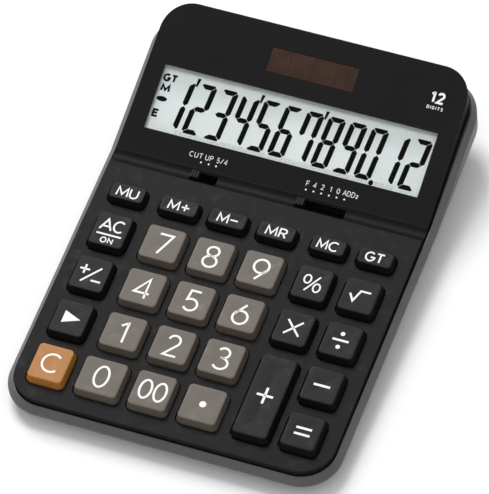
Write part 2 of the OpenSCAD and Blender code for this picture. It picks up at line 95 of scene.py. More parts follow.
class Plane:
    # z = height + slope * y, with an offset along the normal
    def __init__(self, slope, y, z):
        self.slope = slope
        self.height = z - slope * y
        self.normal = np.array([0.0, -slope, 1.0]) / math.hypot(slope, 1.0)

    def lift(self, xy, rise):
        # points on the plane over (x, y), raised along the normal
        xy = np.asarray(xy, float)
        z = self.height + self.slope * xy[..., 1]
        return np.concatenate([xy, z[..., None]], -1) + rise * self.normal


frontY = cadLow.y                # legends are set out from the front edge
coverPoints = vertices("top_cover")
crest = coverPoints[coverPoints[:, 2] > coverPoints[:, 2].max() - 1e-5]
displayPlane = Plane(windowSlope(), crest[:, 1].max(), crest[:, 2].max())

keyShape = dict(
    height=3.2 * mm,       # of the top over the keypad
    skirt=2.65 * mm,       # how far the skirt goes under the keypad
    flare=1.1 * mm,        # a key's base is this much wider than its top, each side
    guide=1.9 * mm,        # the hidden flange is this much wider than the top, each side
    edge=0.36 * mm,        # radius of the top edge
    corner=1.45 * mm,      # corner radius of the top
    dish=0.17 * mm,        # hollow of the top
    tuck=0.30 * mm,        # how far the flanks stand in from the edge of the base
    corners=9,             # points per corner
)


def keyTop(name):
    # centre (x, y), width and depth of a key's top, and the plane it lies in
    low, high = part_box(name)
    slope = keySlope()
    tilt = math.atan(slope)
    width = high.x - low.x - 2 * keyShape["guide"]
    skirt = keyShape["skirt"]
    reach = (high.y - low.y - (skirt + 0.3 * mm) * math.sin(tilt)) / math.cos(tilt)
    depth = reach - 2 * keyShape["flare"]
    x = (low.x + high.x) / 2
    y = (low.y + high.y) / 2 - (skirt - 0.3 * mm) / 2 * math.sin(tilt)
    plane = Plane(slope, y + depth / 2 * math.cos(tilt), high.z)
    return np.array([x, y]), width, depth, plane


# shader maths

class Wire:
    # a socket of a node tree; arithmetic on it adds Math nodes
    def __init__(self, tree, socket=None):
        self.tree = tree
        self.socket = socket

    def node(self, kind, settings=None, values=None, out=0):
        made = self.tree.nodes.new(kind)
        for key, value in (settings or {}).items():
            setattr(made, key, value)
        for key, value in (values or {}).items():
            if isinstance(value, Wire):
                self.tree.links.new(value.socket, made.inputs[key])
            else:
                made.inputs[key].default_value = value
        return Wire(self.tree, made.outputs[out])

    def math(self, operation, a, b=0.0):
        return self.node("ShaderNodeMath", {"operation": operation}, {0: a, 1: b})

    def __add__(self, other):
        return self.math("ADD", self, other)

    def __radd__(self, other):
        return self.math("ADD", other, self)

    def __sub__(self, other):
        return self.math("SUBTRACT", self, other)

    def __rsub__(self, other):
        return self.math("SUBTRACT", other, self)

    def __mul__(self, other):
        return self.math("MULTIPLY", self, other)

    def __rmul__(self, other):
        return self.math("MULTIPLY", other, self)

    def clamped(self):
        return self.node("ShaderNodeClamp", {}, {"Value": self})

    def above(self, edge, soft):
        # 0 below the edge and 1 above it, with a soft step between
        return self.node("ShaderNodeMapRange", {"interpolation_type": "SMOOTHSTEP"},
                         {"Value": self, "From Min": edge - soft, "From Max": edge + soft})

    def split(self):
        return [self.node("ShaderNodeSeparateXYZ", {}, {0: self}, out=i) for i in range(3)]

    def blend(self, first, second):
        # mixes two colours by this value
        return self.node("ShaderNodeMix", {"data_type": "RGBA"},
                         {0: self, 6: tinted(first), 7: tinted(second)}, out=2)


def tinted(colour):
    return colour if isinstance(colour, Wire) else (*colour[:3], 1.0)


def shade(colour, factor):
    return tuple(min(1.0, c * factor) for c in colour[:3])


def newMaterial(name):
    # an empty material with its shader; returns the material, the shader node and a wire to build on
    material = bpy.data.materials.new(name)
    material.use_nodes = True
    tree = material.node_tree
    shader = tree.nodes["Principled BSDF"]
    return material, shader, Wire(tree)


def feed(wire, shader, **links):
    for name, value in links.items():
        wire.tree.links.new(value.socket, shader.inputs[name.replace("_", " ")])


def settle(shader, **numbers):
    for name, value in numbers.items():
        shader.inputs[name.replace("_", " ")].default_value = value


def noise(wire, place, size, detail=3.0, rough=0.6):
    # smooth noise whose patches are about this size, in metres
    return wire.node("ShaderNodeTexNoise", {}, {"Vector": place, "Scale": 1.0 / size,
                                                "Detail": detail, "Roughness": rough})


def mouldedPlastic(name, colour, roughness=0.45, gloss=0.4, grain=0.22, relief=0.25, mottle=0.10,
                   scuff=0.12):
    # spark-eroded grain as bump, a slow drift of tone, and faint handling marks in the sheen
    material, shader, wire = newMaterial(name)
    place = wire.node("ShaderNodeTexCoord", out=3)
    fine = noise(wire, place, grain * mm, 2.0)
    drift = noise(wire, place, 14 * mm, 3.0)
    specks = noise(wire, place, 0.5 * mm, 4.0, 0.75)
    rubbed = noise(wire, place, 5 * mm, 5.0, 0.7)
    tone = (drift * 0.6 + specks * 0.4).above(0.5, 0.22)
    base = tone.blend(shade(colour, 1 - mottle), shade(colour, 1 + mottle))
    smears = rubbed.above(0.62, 0.12)
    rough = roughness + (fine - 0.5) * 0.10 - smears * scuff
    height = fine * 0.7 + specks * 0.3
    bump = wire.node("ShaderNodeBump", {}, {"Strength": relief, "Distance": 0.02 * mm, "Height": height})
    feed(wire, shader, Base_Color=base, Roughness=rough.clamped(), Normal=bump)
    settle(shader, Specular_IOR_Level=gloss)
    return material


def softRubber(name, colour, roughness=0.7, gloss=0.3):
    # dusty rubber: pale specks in the hollows of a coarse, soft grain
    material, shader, wire = newMaterial(name)
    place = wire.node("ShaderNodeTexCoord", out=3)
    grain = noise(wire, place, 0.35 * mm, 3.0)
    dust = noise(wire, place, 2.4 * mm, 5.0, 0.7).above(0.6, 0.1) * grain.above(0.45, 0.1)
    base = (dust * 0.5).blend(colour, shade(colour, 1.35))
    bump = wire.node("ShaderNodeBump", {}, {"Strength": 0.4, "Distance": 0.03 * mm, "Height": grain})
    feed(wire, shader, Base_Color=base, Roughness=(roughness + dust * 0.15).clamped(), Normal=bump)
    settle(shader, Specular_IOR_Level=gloss)
    return material


def platedMetal(name, colour, roughness=0.28, grainAcross=0.08, grainAlong=6.0):
    # rolled sheet: fine streaks along X, and dull patches
    material, shader, wire = newMaterial(name)
    place = wire.node("ShaderNodeTexCoord", out=3)
    scale = (1 / grainAlong, 1 / grainAcross, 1 / grainAcross)
    stretched = wire.node("ShaderNodeMapping", {}, {0: place, 3: scale})
    streaks = noise(wire, stretched, 1 * mm, 3.0)
    dull = noise(wire, place, 3 * mm, 4.0).above(0.55, 0.15)
    base = (dull * 0.6).blend(colour, shade(colour, 0.72))
    bump = wire.node("ShaderNodeBump", {}, {"Strength": 0.15, "Distance": 0.01 * mm, "Height": streaks})
    rough = roughness + streaks * 0.12 + dull * 0.14
    feed(wire, shader, Base_Color=base, Roughness=rough.clamped(), Normal=bump)
    settle(shader, Metallic=1.0)
    return material


def circuitBoard(name, colour):
    # solder mask over copper tracks: parallel tracks show as slightly raised, paler bands
    material, shader, wire = newMaterial(name)
    place = wire.node("ShaderNodeTexCoord", out=3)
    tracks = wire.node("ShaderNodeTexBrick", {"offset": 0.5}, {
        "Vector": place, "Scale": 1 / mm, "Mortar Size": 0.12, "Brick Width": 7.0, "Row Height": 1.6,
        "Color1": (0, 0, 0, 1), "Color2": (0, 0, 0, 1), "Mortar": (1, 1, 1, 1)})
    weave = noise(wire, place, 0.6 * mm, 3.0)
    line = tracks * 1.0
    base = (line * 0.7).blend(colour, shade(colour, 1.9))
    height = line + weave * 0.2
    bump = wire.node("ShaderNodeBump", {}, {"Strength": 0.3, "Distance": 0.03 * mm, "Height": height})
    feed(wire, shader, Base_Color=base, Roughness=0.32 + weave * 0.16, Normal=bump)
    settle(shader, Specular_IOR_Level=0.5)
    return material


def stripedStrip(name, colour, pitch=0.5):
    # contact strip of thin dark and pale layers, side by side along X
    material, shader, wire = newMaterial(name)
    place = wire.node("ShaderNodeTexCoord", out=3)
    along = place.split()[0]
    phase = wire.math("FRACT", along * (1 / (pitch * mm)))
    dark = phase.above(0.5, 0.08)
    grain = noise(wire, place, 0.3 * mm, 3.0)
    base = dark.blend(colour, shade(colour, 0.25))
    height = dark + grain * 0.4
    bump = wire.node("ShaderNodeBump", {}, {"Strength": 0.3, "Distance": 0.02 * mm, "Height": height})
    feed(wire, shader, Base_Color=base, Roughness=0.5 + grain * 0.2, Normal=bump)
    settle(shader, Specular_IOR_Level=0.35)
    return material


def clearPane(name, colour, alpha=0.02):
    # clear pane with a very faint haze and fine wipe marks in its gloss
    material, shader, wire = newMaterial(name)
    place = wire.node("ShaderNodeTexCoord", out=3)
    haze = noise(wire, place, 9 * mm, 4.0, 0.65)
    swept = wire.node("ShaderNodeMapping", {}, {0: place, 2: (0, 0, 0.5), 3: (0.15, 1.6, 1)})
    wipe = noise(wire, swept, 1.2 * mm, 4.0)
    base = haze.blend(shade(colour, 0.8), shade(colour, 1.2))
    rough = 0.08 + haze * 0.06 + wipe * 0.05
    feed(wire, shader, Base_Color=base, Roughness=rough, Alpha=alpha + haze * 0.02)
    settle(shader, Specular_IOR_Level=0.18)
    return material


def displayFace(name, colour):
    # reflective display: pale field with a fine sparkle and a slow drift towards green
    material, shader, wire = newMaterial(name)
    place = wire.node("ShaderNodeTexCoord", out=3)
    sparkle = noise(wire, place, 0.16 * mm, 2.0)
    drift = noise(wire, place, 30 * mm, 2.0)
    tint = drift.above(0.5, 0.3).blend(shade(colour, 0.985), (colour[0] * 1.02, colour[1], colour[2] * 0.99))
    base = sparkle.above(0.5, 0.3).blend(tint, shade(colour, 0.965))
    bump = wire.node("ShaderNodeBump", {}, {"Strength": 0.10, "Distance": 0.01 * mm, "Height": sparkle})
    feed(wire, shader, Base_Color=base, Roughness=0.38 + sparkle * 0.1, Normal=bump)
    settle(shader, Specular_IOR_Level=0.3)
    return material


def solarCell(name, colour, low, high, cells=4):
    # cells side by side, parted by thin dark lines, with hairline ribs across each
    material, shader, wire = newMaterial(name)
    place = wire.node("ShaderNodeTexCoord", out=3)
    x, y, z = place.split()
    along = (x - low.x) * (cells / (high.x - low.x))
    part = wire.math("FRACT", along)
    gap = (wire.math("ABSOLUTE", part - 0.5)).above(0.488, 0.006)
    rib = wire.math("FRACT", y * (1 / (0.9 * mm))).above(0.86, 0.05)
    cloud = noise(wire, place, 6 * mm, 3.0)
    field = cloud.above(0.5, 0.25).blend(shade(colour, 0.82), shade(colour, 1.2))
    lined = (gap * 0.8).blend((rib * 0.35).blend(field, shade(colour, 0.6)), shade(colour, 0.25))
    feed(wire, shader, Base_Color=lined, Roughness=0.22 + cloud * 0.10)
    settle(shader, Specular_IOR_Level=0.2)
    return material


def printedInk(name, colour, roughness=0.5, gloss=0.35):
    # screen-printed ink: a little uneven in tone, with tiny pinholes
    material, shader, wire = newMaterial(name)
    place = wire.node("ShaderNodeTexCoord", out=3)
    uneven = noise(wire, place, 0.7 * mm, 4.0)
    base = uneven.above(0.5, 0.3).blend(shade(colour, 0.93), colour)
    bump = wire.node("ShaderNodeBump", {}, {"Strength": 0.1, "Distance": 0.01 * mm, "Height": uneven})
    feed(wire, shader, Base_Color=base, Roughness=roughness + uneven * 0.1, Normal=bump)
    settle(shader, Specular_IOR_Level=gloss)
    return material


# what a user would repaint: colour and sheen of each finish
finishes = {
    "case_taupe": dict(make=mouldedPlastic, colour=(0.110, 0.103, 0.103), roughness=0.44, gloss=0.20,
                       relief=0.35, mottle=0.08),
    "cover_black": dict(make=mouldedPlastic, colour=(0.0082, 0.0082, 0.0085), roughness=0.46, gloss=0.065,
                        relief=0.35, mottle=0.10),
    "key_taupe": dict(make=mouldedPlastic, colour=(0.118, 0.099, 0.084), roughness=0.40, gloss=0.16,
                      grain=0.3, relief=0.14, mottle=0.05),
    "key_black": dict(make=mouldedPlastic, colour=(0.0085, 0.0086, 0.0088), roughness=0.38, gloss=0.075,
                      grain=0.3, relief=0.14, mottle=0.06),
    "key_orange": dict(make=mouldedPlastic, colour=(0.385, 0.165, 0.038), roughness=0.40, gloss=0.16,
                       grain=0.3, relief=0.14, mottle=0.04),
    "window_clear": dict(make=clearPane, colour=(0.06, 0.065, 0.065)),
    "lcd_glass": dict(make=displayFace, colour=(0.93, 1.0, 0.995)),
    "frame_white": dict(make=mouldedPlastic, colour=(0.78, 0.78, 0.75), roughness=0.5, relief=0.1,
                        mottle=0.03),
    "connector_rubber": dict(make=stripedStrip, colour=(0.42, 0.16, 0.26)),
    "board_green": dict(make=circuitBoard, colour=(0.020, 0.120, 0.060)),
    "ribbon_film": dict(make=mouldedPlastic, colour=(0.55, 0.42, 0.20), roughness=0.3, relief=0.05,
                        mottle=0.1),
    "dome_rubber": dict(make=softRubber, colour=(0.52, 0.52, 0.50)),
    "epoxy_black": dict(make=mouldedPlastic, colour=(0.010, 0.010, 0.010), roughness=0.22, relief=0.08),
    "contact_brass": dict(make=platedMetal, colour=(0.75, 0.58, 0.28)),
    "steel": dict(make=platedMetal, colour=(0.60, 0.60, 0.62)),
    "foot_rubber": dict(make=softRubber, colour=(0.020, 0.020, 0.020)),
}
materials = {}
for slotName, finish in finishes.items():
    materials[slotName] = finish["make"](slotName, **{k: v for k, v in finish.items() if k != "make"})
solarLow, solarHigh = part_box("solar_window")
materials["solar_window"] = solarCell("solar_window", (0.036, 0.017, 0.009), solarLow, solarHigh)
materials["solar_cell"] = solarCell("solar_cell", (0.040, 0.020, 0.020), *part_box("solar_cell"))
legendInk = printedInk("legend_ink", (0.86, 0.86, 0.84))
displayInk = printedInk("display_ink", (0.0015, 0.0015, 0.0018), 0.5, 0.03)

# painted shade: the two switch contacts get a near-black finish instead of their own, standing for the shade down
# in the switch slots
slotShadeFinish = mouldedPlastic("contact_painted_shade", (0.008, 0.008, 0.009), roughness=0.35, gloss=0.2, relief=0.1)

for name, node in nodes.items():
    node.data.materials.clear()
    shadedContact = name in ("rounding_contact", "decimal_contact")
    node.data.materials.append(slotShadeFinish if shadedContact else materials[slotOf[name]])
print("finishes:", len(materials) + 2)


# mesh helpers

def makeMesh(name, points, faces, material, body, smooth=True):
    mesh = bpy.data.meshes.new(name)
    mesh.from_pydata(points.reshape(-1, 3).tolist(), [], faces)
    mesh.polygons.foreach_set("use_smooth", np.full(len(mesh.polygons), smooth))
    mesh.materials.append(material)
    mesh.update()
    piece = bpy.data.objects.new(name, mesh)
    bpy.context.scene.collection.objects.link(piece)
    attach(piece, body)
    return piece


def skin(rings, count):
    # quads between closed rings of count points each, and a flat cap on the first and last ring
    i, j = np.meshgrid(np.arange(rings - 1), np.arange(count), indexing="ij")
    k = (j + 1) % count
    quads = np.stack([i * count + j, i * count + k, (i + 1) * count + k, (i + 1) * count + j], -1)
    faces = quads.reshape(-1, 4).tolist()
    faces.append(list(range(count))[::-1])
    faces.append(list(range((rings - 1) * count, rings * count)))
    return faces


def roundedRing(halfWidth, halfDepth, radius, count):
    # rounded rectangle: corner centre + radius * (cos a, sin a), a over a quarter turn per corner;
    # the arguments may be columns, one row per ring
    quarter = np.linspace(0, math.pi / 2, count)
    angle = np.concatenate([quarter + n * math.pi / 2 for n in range(4)])
    signX = np.repeat([1, -1, -1, 1], count)
    signY = np.repeat([1, 1, -1, -1], count)
    x = signX * (halfWidth - radius) + radius * np.cos(angle)
    y = signY * (halfDepth - radius) + radius * np.sin(angle)
    return x, y


# keys

def keyProfile(height):
    # (inset from the base, height) up a key: skirt, chamfer, flank, a quarter turn of the edge,
    # then inwards over the top, which sinks by dish * (1 - cos)
    s = keyShape
    top = s["flare"] + s["edge"] * 0.6
    turn = np.linspace(math.radians(14), math.pi / 2, 6)
    edgeInset = top - s["edge"] * np.cos(turn)
    edgeHeight = height - s["edge"] * (1 - np.sin(turn))
    flank = np.linspace(0.12, 0.9, 4)
    bulge = 0.07 * mm * np.sin(flank * math.pi)
    flankInset = s["tuck"] + 0.04 * mm + (edgeInset[0] - s["tuck"] - 0.04 * mm) * flank + bulge
    flankHeight = 0.45 * mm + (edgeHeight[0] - 0.45 * mm) * flank
    inner = np.linspace(0.12, 0.97, 7)
    base = s["tuck"] + np.array([0.2, 0.0, 0.0, 0.03]) * mm
    inset = np.concatenate([base, flankInset, edgeInset])
    foot = [-s["skirt"], 0.25 * mm - s["skirt"], 0.25 * mm, 0.42 * mm]
    level = np.concatenate([foot, flankHeight, edgeHeight])
    return inset, level, top, inner


def makeKey(name):
    centre, width, depth, plane = keyTop(name)
    s = keyShape
    height = s["height"]
    inset, level, top, inner = keyProfile(height)
    halfW, halfD = width / 2 + s["flare"], depth / 2 + s["flare"]
    reach = min(halfW, halfD) - top
    inset = np.concatenate([inset, top + inner * reach])
    level = np.concatenate([level, height - s["dish"] * (1 - np.cos(inner * math.pi / 2))])
    radius = np.maximum(s["corner"] + s["flare"] - inset * 0.95, 0.02 * mm)[:, None]
    radius = np.minimum(radius, (min(halfW, halfD) - inset)[:, None])
    x, y = roundedRing(halfW - inset[:, None], halfD - inset[:, None], radius, s["corners"])
    tilt = math.atan(plane.slope)
    z = level[:, None] - height + 0 * x
    across = centre[0] + x
    forward = centre[1] + y * math.cos(tilt) - z * math.sin(tilt)
    up = plane.height + plane.slope * centre[1] + y * math.sin(tilt) + z * math.cos(tilt)
    points = np.stack([across, forward, up], -1)
    slotName = slotOf[name]
    piece = makeMesh(name + "_cap", points, skin(*x.shape), materials[slotName], bodyOf[name])
    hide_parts(name)
    return piece


keyNames = [n for n in nodes if n.startswith("key_")]
for name in keyNames:
    makeKey(name)
print("keys:", len(keyNames))


# strokes for legends

def arc(cx, cy, rx, ry, start, end, count=18):
    # points (cx + rx cos a, cy + ry sin a)
    a = np.radians(np.linspace(start, end, count))
    return np.stack([cx + rx * np.cos(a), cy + ry * np.sin(a)], -1)


def joined(*parts):
    return np.concatenate([np.asarray(p, float).reshape(-1, 2) for p in parts])


ring = arc(0.5, 0.5, 0.5, 0.5, 0, 360, 33)
bowlTop = arc(0.55, 0.745, 0.45, 0.255, 90, -90)
glyphs = {
    "0": [ring],
    "1": [joined((0, 0.80), (0.98, 1.0)), joined((1, 1.04), (1, 0))],
    "2": [joined(arc(0.48, 0.735, 0.44, 0.265, 168, -38), (0.0, 0.0), (1.0, 0.0))],
    "3": [joined(arc(0.46, 0.765, 0.41, 0.235, 152, -90), (0.30, 0.53)),
          joined((0.30, 0.53), arc(0.47, 0.265, 0.51, 0.265, 90, -152))],
    "4": [joined((0.765, 0), (0.765, 1), (0, 0.257), (1, 0.257))],
    "5": [joined((0.92, 1), (0.19, 1), (0.10, 0.52), arc(0.47, 0.295, 0.50, 0.295, 118, -148))],
    "6": [arc(0.5, 0.33, 0.5, 0.33, 0, 360, 33), joined((0.07, 0.46), (0.67, 1))],
    "7": [joined((0, 1), (1, 1), (0.27, 0))],
    "8": [arc(0.5, 0.77, 0.42, 0.23, 0, 360, 33), arc(0.5, 0.27, 0.5, 0.27, 0, 360, 33)],
    "9": [arc(0.5, 0.67, 0.5, 0.33, 0, 360, 33), joined((0.93, 0.54), (0.33, 0))],
    "A": [joined((0, 0), (0.5, 1), (1, 0)), joined((0.17, 0.33), (0.83, 0.33))],
    "C": [arc(0.54, 0.5, 0.54, 0.5, 48, 312, 26)],
    "D": [joined((0.42, 0), (0, 0), (0, 1), (0.42, 1), arc(0.45, 0.5, 0.55, 0.5, 90, -90))],
    "E": [joined((1, 1), (0, 1), (0, 0), (1, 0)), joined((0, 0.52), (0.85, 0.52))],
    "F": [joined((1, 1), (0, 1), (0, 0)), joined((0, 0.5), (0.85, 0.5))],
    "G": [joined(arc(0.5, 0.5, 0.5, 0.5, 48, 348, 26), (0.99, 0.45), (0.55, 0.45))],
    "I": [joined((0.5, 0), (0.5, 1))],
    "M": [joined((0, 0), (0.07, 1), (0.5, 0.18), (0.93, 1), (1, 0))],
    "N": [joined((0, 0), (0, 1), (1, 0), (1, 1))],
    "O": [ring],
    "P": [joined((0, 0), (0, 1), (0.5, 1), bowlTop, (0, 0.49))],
    "R": [joined((0, 0), (0, 1), (0.5, 1), bowlTop, (0, 0.49)), joined((0.50, 0.49), (1, 0))],
    "S": [joined(arc(0.5, 0.745, 0.42, 0.255, 38, 262), arc(0.5, 0.255, 0.48, 0.255, 82, -145))],
    "T": [joined((0, 1), (1, 1)), joined((0.5, 1), (0.5, 0))],
    "U": [joined((0, 1), arc(0.5, 0.38, 0.5, 0.38, 180, 360), (1, 1))],
    "+": [joined((0, 0.5), (1, 0.5)), joined((0.5, 0), (0.5, 1))],
    "-": [joined((0, 0.5), (1, 0.5))],
    "x": [joined((0, 0), (1, 1)), joined((0, 1), (1, 0))],
    "/": [joined((0, 0), (1, 1))],
    "v": [joined((0, 0.62), (0.25, 0), (0.49, 1), (1, 1))],
    "=": [joined((0, 0), (1, 0)), joined((0, 1), (1, 1))],
}


def ribbon(path, width, plane, rise):
    # a flat bar carried along a path: at each point the half width goes along the mitre of the two
    # neighbouring runs, at most 2.2 times as long; the bar stands rise over the plane
    path = path[np.concatenate([[True], np.linalg.norm(np.diff(path, axis=0), axis=1) > 1e-7])]
    closed = len(path) > 8 and np.linalg.norm(path[0] - path[-1]) < 1e-6
    runs = np.diff(path, axis=0)
    runs = runs / np.linalg.norm(runs, axis=1)[:, None]
    before = np.concatenate([runs[-1:] if closed else runs[:1], runs])
    after = np.concatenate([runs, runs[:1] if closed else runs[-1:]])
    sideA = np.stack([-before[:, 1], before[:, 0]], -1)
    sideB = np.stack([-after[:, 1], after[:, 0]], -1)
    mitre = sideA + sideB
    mitre = mitre / np.maximum(np.linalg.norm(mitre, axis=1), 1e-6)[:, None]
    stretch = 1 / np.maximum((mitre * sideA).sum(1), 1 / 2.2)
    offset = mitre * (stretch * width / 2)[:, None]
    left, right = path + offset, path - offset
    sunk = -0.03 * mm
    points = np.stack([plane.lift(right, sunk), plane.lift(left, sunk),
                       plane.lift(left, rise), plane.lift(right, rise)], 1)
    return points, [f[::-1] for f in skin(len(path), 4)]


def prism(outline, plane, rise):
    # a flat plate of the outline's shape, which runs anticlockwise, standing rise over the plane
    outline = np.asarray(outline, float)
    points = np.stack([plane.lift(outline, -0.03 * mm), plane.lift(outline, rise)])
    return points, skin(2, len(outline))


def gather(name, parts, material, body):
    # joins (points, faces) pairs into one piece
    points, faces, start = [], [], 0
    for p, f in parts:
        p = p.reshape(-1, 3)
        points.append(p)
        faces += [[v + start for v in face] for face in f]
        start += len(p)
    return makeMesh(name, np.concatenate(points), faces, material, body, smooth=False)


def glyph(sign, x, y, width, height, stroke):
    # a glyph's paths in a box of that outer size, centred on (x, y)
    inner = np.array([width - stroke, height - stroke])
    corner = np.array([x, y]) - inner / 2
    return [(path * inner + corner, stroke) for path in glyphs[sign]]


def disc(x, y, radius):
    # a filled dot is a ring whose stroke is as wide as its radius
    return (arc(x, y, radius / 2, radius / 2, 0, 360, 21), radius)


def word(text, x, y, size, stroke, gap, widths, space=0.55):
    # glyphs in a row from x on, with their feet on y; widths in parts of the size
    paths = []
    for sign in text:
        if sign == " ":
            x += space * size
            continue
        w = widths.get(sign, 0.62) * size
        paths += glyph(sign, x + w / 2, y + size / 2, w, size, stroke)
        x += w + gap
    return paths


# each legend: glyph, place of its middle from the middle of the key, width, height, stroke, in mm
keyLegends = {
    "key_7": [("7", 0.50, -0.25, 6.1, 9.4, 0.86)],
    "key_8": [("8", 0.15, -0.15, 6.1, 9.7, 0.86)],
    "key_9": [("9", 0.15, -0.10, 6.6, 9.7, 0.86)],
    "key_4": [("4", 0.20, -0.20, 6.8, 9.4, 0.86)],
    "key_5": [("5", 0.20, -0.10, 6.0, 9.4, 0.86)],
    "key_6": [("6", 0.15, -0.20, 6.5, 9.4, 0.86)],
    "key_1": [("1", -0.25, -0.20, 3.3, 9.4, 0.86)],
    "key_2": [("2", 0.35, -0.20, 5.9, 9.5, 0.86)],
    "key_3": [("3", 0.35, -0.05, 6.2, 9.8, 0.86)],
    "key_0": [("0", 0.10, 0.05, 6.1, 9.6, 0.86)],
    "key_00": [("0", -2.60, 0, 5.2, 8.6, 0.86), ("0", 3.10, 0, 5.2, 8.6, 0.86)],
    "key_clear": [("C", 0.20, 0.05, 7.6, 8.4, 0.86)],
    "key_sign": [("+", -2.85, 1.45, 4.6, 4.6, 0.75), ("/", 0.20, -0.40, 6.8, 7.9, 0.70),
                 ("-", 2.80, -2.80, 4.5, 4.5, 0.75)],
    "key_ac_on": [("A", -2.20, 1.95, 5.1, 5.4, 0.70), ("C", 2.60, 1.95, 4.5, 5.4, 0.70),
                  ("-", 0.10, -2.30, 10.4, 1.6, 0.70),
                  ("O", -1.15, -4.75, 2.5, 2.6, 0.48), ("N", 1.55, -4.75, 2.1, 2.5, 0.48)],
    "key_mu": [("M", -1.85, -0.15, 4.8, 4.3, 0.62), ("U", 2.60, -0.15, 3.6, 4.3, 0.62)],
    "key_m_plus": [("M", -1.95, -0.15, 4.6, 4.3, 0.62), ("+", 2.55, -0.15, 3.5, 3.5, 0.62)],
    "key_m_minus": [("M", -1.70, -0.15, 4.6, 4.3, 0.62), ("-", 2.60, -0.15, 3.5, 3.5, 0.62)],
    "key_mr": [("M", -1.80, -0.15, 4.6, 4.3, 0.62), ("R", 2.60, -0.15, 3.2, 4.3, 0.62)],
    "key_mc": [("M", -2.30, -0.15, 4.3, 4.3, 0.62), ("C", 2.10, -0.15, 4.0, 4.3, 0.62)],
    "key_gt": [("G", -2.00, -0.15, 4.0, 4.3, 0.62), ("T", 1.70, -0.15, 3.3, 4.3, 0.62)],
    "key_percent": [("0", -2.25, 1.35, 3.2, 4.2, 0.62), ("0", 2.15, -1.60, 3.2, 4.2, 0.62),
                    ("/", 0.05, -0.20, 4.9, 7.6, 0.62)],
    "key_root": [("v", 0.0, -0.35, 8.2, 5.5, 0.75)],
    "key_times": [("x", 0.0, -0.10, 6.6, 6.9, 0.75)],
    "key_divide": [("-", -0.15, -0.05, 7.1, 2.0, 0.86)],
    "key_plus": [("+", -0.05, 0.15, 7.2, 7.8, 0.95)],
    "key_minus": [("-", 0.0, -0.15, 7.2, 2.0, 0.95)],
    "key_equals": [("=", 0.1, -0.05, 6.9, 3.5, 0.92)],
}
keyDots = {"key_point": [(0.15, 0.05, 1.3)], "key_divide": [(-0.20, 2.75, 0.85), (-0.20, -2.95, 0.85)]}
arrow = [(-2.95, -2.70), (3.70, -0.10), (-2.95, 2.55)]          # the key that steps back


def legendParts(paths, plane, rise):
    return [ribbon(path * mm, stroke * mm, plane, rise * mm) for path, stroke in paths]


def makeLegend(name):
    centre, width, depth, plane = keyTop(name)
    dished = Plane(plane.slope, centre[1], plane.height + plane.slope * centre[1] - keyShape["dish"] * 0.55)
    cx, cy = centre / mm
    paths = []
    for sign, dx, dy, w, h, stroke in keyLegends.get(name, []):
        paths += glyph(sign, cx + dx, cy + dy, w, h, stroke)
    paths += [disc(cx + dx, cy + dy, r) for dx, dy, r in keyDots.get(name, [])]
    parts = legendParts(paths, dished, 0.09)
    if name == "key_back":
        parts.append(prism((np.array(arrow) + (cx, cy)) * mm, dished, 0.09 * mm))
    return gather(name + "_legend", parts, legendInk, bodyOf[name])


for name in keyNames:
    makeLegend(name)
print("legends:", len(keyNames))


# labels printed on the cover

narrow = {"1": 0.34, "I": 0.18, "5": 0.56, "/": 0.5, "M": 0.9, "C": 0.78, "U": 0.72, "D": 0.70, "A": 0.8,
          "T": 0.68}
switchLabels = dict(size=2.0, stroke=0.22, gap=0.42)
frontMm = frontY / mm


def coverLabels():
    s = switchLabels
    rise = 0.03
    texts = [("CUT", -33.9, 119.0), ("UP", -27.6, 119.0), ("5/4", -23.0, 119.0),
             ("F", 12.4, 119.15), ("4", 15.2, 119.15), ("2", 18.3, 119.15), ("1", 21.7, 119.15),
             ("0", 24.4, 119.15), ("A", 26.8, 119.15), ("D", 28.5, 119.15), ("D", 30.2, 119.15)]
    paths = []
    for text, x, y in texts:
        paths += word(text, x, y + frontMm, s["size"], s["stroke"], s["gap"], narrow)
    paths += word("2", 32.0, 119.15 + frontMm, 1.4, 0.26, 0.3, narrow)
    paths += [disc(x, 117.8 + frontMm, 0.33) for x in (-28.6, -25.55, -22.6)]
    paths += [disc(13 + 3.02 * i, 117.8 + frontMm, 0.33) for i in range(6)]
    paths += word("12", 47.0, 159.7 + frontMm, 4.4, 0.85, 0.7, {"1": 0.42, "2": 0.72})
    paths += word("DIGITS", 46.8, 157.4 + frontMm, 1.3, 0.24, 0.42, dict(narrow, G=0.8, T=0.7, S=0.65))
    parts = legendParts(paths, displayPlane, rise)
    return gather("cover_labels", parts, legendInk, "case")


coverLabels()


# display segments

display = dict(
    text="123456789012",
    first=-41.9, pitch=8.53,          # middle of the right-hand bars of the first digit, and the step
    span=4.7,                         # between left and right bars
    top=146.7, bottom=127.4,
    bar=2.05, rail=1.8,               # thickness of upright and level bars
    lean=1.7, leanFrom=142.0,
    gap=0.09, cut=1.1,                # gap between bars, and the cut of the outer corners
)
segments = {"0": "abcdef", "1": "bc", "2": "abged", "3": "abgcd", "4": "fgbc", "5": "afgcd",
            "6": "afgedc", "7": "abcf", "8": "abcdefg", "9": "abcdfg"}


